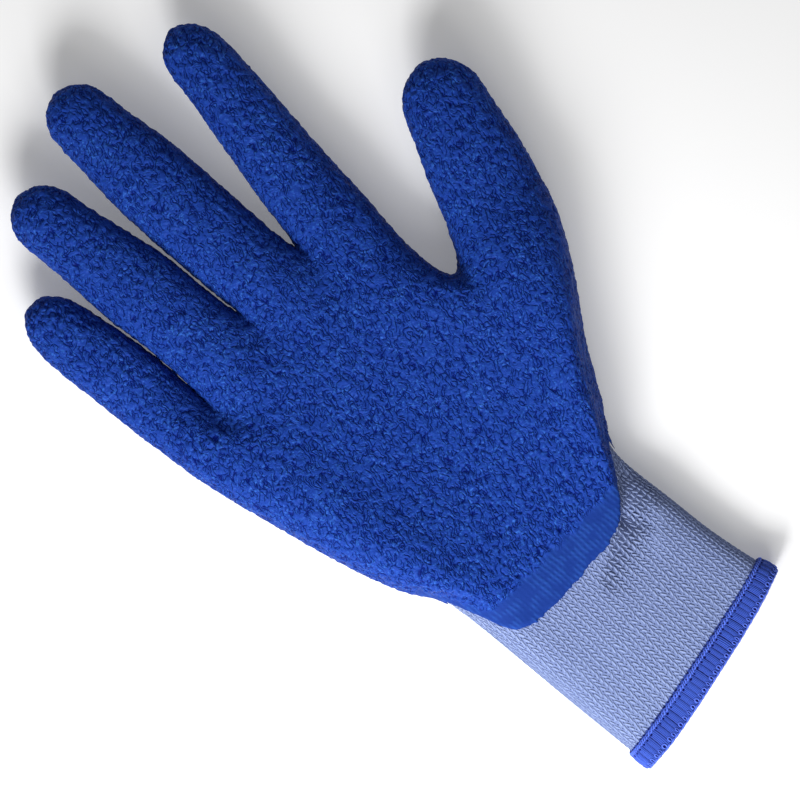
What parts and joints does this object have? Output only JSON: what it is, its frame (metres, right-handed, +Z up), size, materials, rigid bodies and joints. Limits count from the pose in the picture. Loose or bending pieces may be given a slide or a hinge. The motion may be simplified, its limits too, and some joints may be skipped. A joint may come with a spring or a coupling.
{
  "type": "glass handling glove",
  "caption": "Right-hand seamless knitted work glove, palm and fingers dipped in crinkled latex, open knitted cuff with an overlocked hem, lying palm up.",
  "frame": {"origin": "middle of the glove's plan, on the surface that it lies on", "axes": "+Y from the cuff to the fingertips, +X to the thumb side, +Z up, out of the palm"},
  "size_m": [0.1426, 0.2566, 0.0257],
  "materials": {
    "knit": "pale blue-grey plain knit, matt, fine wales along the hand",
    "latex": "deep blue crinkled dipped latex with a smooth margin at its edge",
    "hem_thread": "royal blue overlock thread, soft sheen"
  },
  "bodies": {
    "root": {"knit_cuff": "knit", "knit_palm": "knit", "knit_little": "knit", "knit_ring": "knit", "knit_middle": "knit", "knit_index": "knit", "knit_thumb": "knit", "latex_coating": "latex", "overlock_hem": "hem_thread"}
  },
  "joints": []
}
